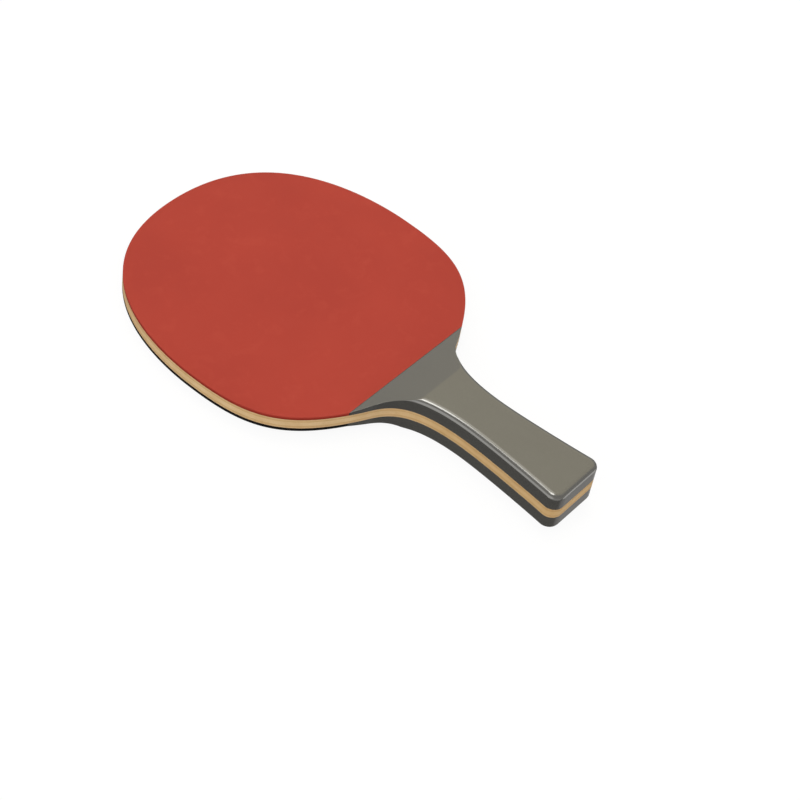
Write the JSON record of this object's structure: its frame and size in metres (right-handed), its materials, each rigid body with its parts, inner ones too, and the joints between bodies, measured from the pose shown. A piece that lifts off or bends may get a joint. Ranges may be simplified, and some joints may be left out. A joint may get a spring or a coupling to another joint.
{
  "type": "table tennis paddle",
  "caption": "Table tennis paddle with an oval wooden blade, a red and a black rubber sheet on sponge, and a flared moulded handle whose front slopes down to the rubber.",
  "frame": {"origin": "under the middle of the paddle's bounding box, on the plane of the flat back of the handle", "axes": "+Y along the paddle from the butt of the handle to the tip of the head, +Z out of the front (red) face, +X across the head"},
  "size_m": [0.15, 0.2506, 0.0214],
  "materials": {
    "core_wood": "bare sanded edge",
    "inner_wood": "bare sanded edge",
    "face_wood": "bare sanded",
    "adhesive_film": "clear glued film",
    "red_sponge": "fine open cell, matte",
    "black_sponge": "fine open cell, matte",
    "red_rubber": "smooth grippy matte",
    "black_rubber": "smooth grippy matte",
    "handle_plastic": "satin moulded"
  },
  "bodies": {
    "root": {"core_ply": "core_wood", "front_inner_ply": "inner_wood", "back_inner_ply": "inner_wood", "front_face_ply": "face_wood", "back_face_ply": "face_wood", "front_adhesive_film": "adhesive_film", "back_adhesive_film": "adhesive_film", "front_sponge": "red_sponge", "back_sponge": "black_sponge", "front_topsheet": "red_rubber", "back_topsheet": "black_rubber", "front_handle_shell": "handle_plastic", "back_handle_shell": "handle_plastic"}
  },
  "joints": []
}
